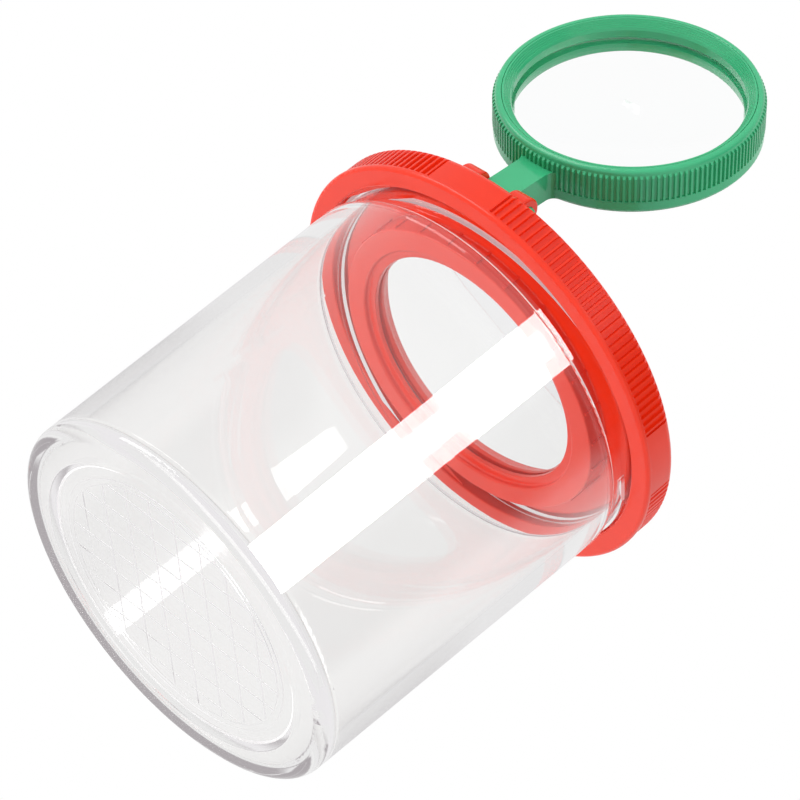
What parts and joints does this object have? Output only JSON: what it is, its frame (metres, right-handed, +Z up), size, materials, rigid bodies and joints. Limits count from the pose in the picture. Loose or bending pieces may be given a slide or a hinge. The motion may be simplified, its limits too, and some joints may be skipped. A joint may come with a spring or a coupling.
{
  "type": "insect viewer",
  "caption": "Clear screw-top viewing pot whose red lid holds a lens and carries a green folding magnifier.",
  "frame": {"origin": "centre of the pot's foot, in the plane that it stands on", "axes": "+Z up along the pot's axis; +Y towards the magnifier's hinge; +X along the hinge pin"},
  "size_m": [0.0704, 0.0704, 0.1212],
  "materials": {
    "clear_plastic": "clear gloss",
    "red_plastic": "gloss",
    "green_plastic": "gloss"
  },
  "bodies": {
    "pot": {"pot": "clear_plastic"},
    "lid_lens": {"lid_lens": "clear_plastic"},
    "lid": {"lid": "red_plastic", "lid_lens_ring": "red_plastic"},
    "magnifier": {"magnifier_frame": "green_plastic", "magnifier_lens": "clear_plastic", "magnifier_lens_ring": "green_plastic"}
  },
  "joints": [
    {"name": "lid_rise", "type": "slide", "parent": "pot", "child": "lid_lens", "axis": [0, 0, 1], "range_m": [0, 0.0071]},
    {"name": "lid_turn", "type": "hinge", "parent": "lid_lens", "child": "lid", "pos_m": [0, 0, 0.0632], "axis": [0, 0, 1], "range_deg": [0, 210]},
    {"name": "magnifier_fold", "type": "hinge", "parent": "lid", "child": "magnifier", "pos_m": [0, 0.029, 0.07125], "axis": [1, 0, 0], "range_deg": [-90, 83.9]}
  ],
  "couplings": [
    {"joint": "lid_rise", "follows": "lid_turn", "m_per_rad": 0.0019099}
  ]
}
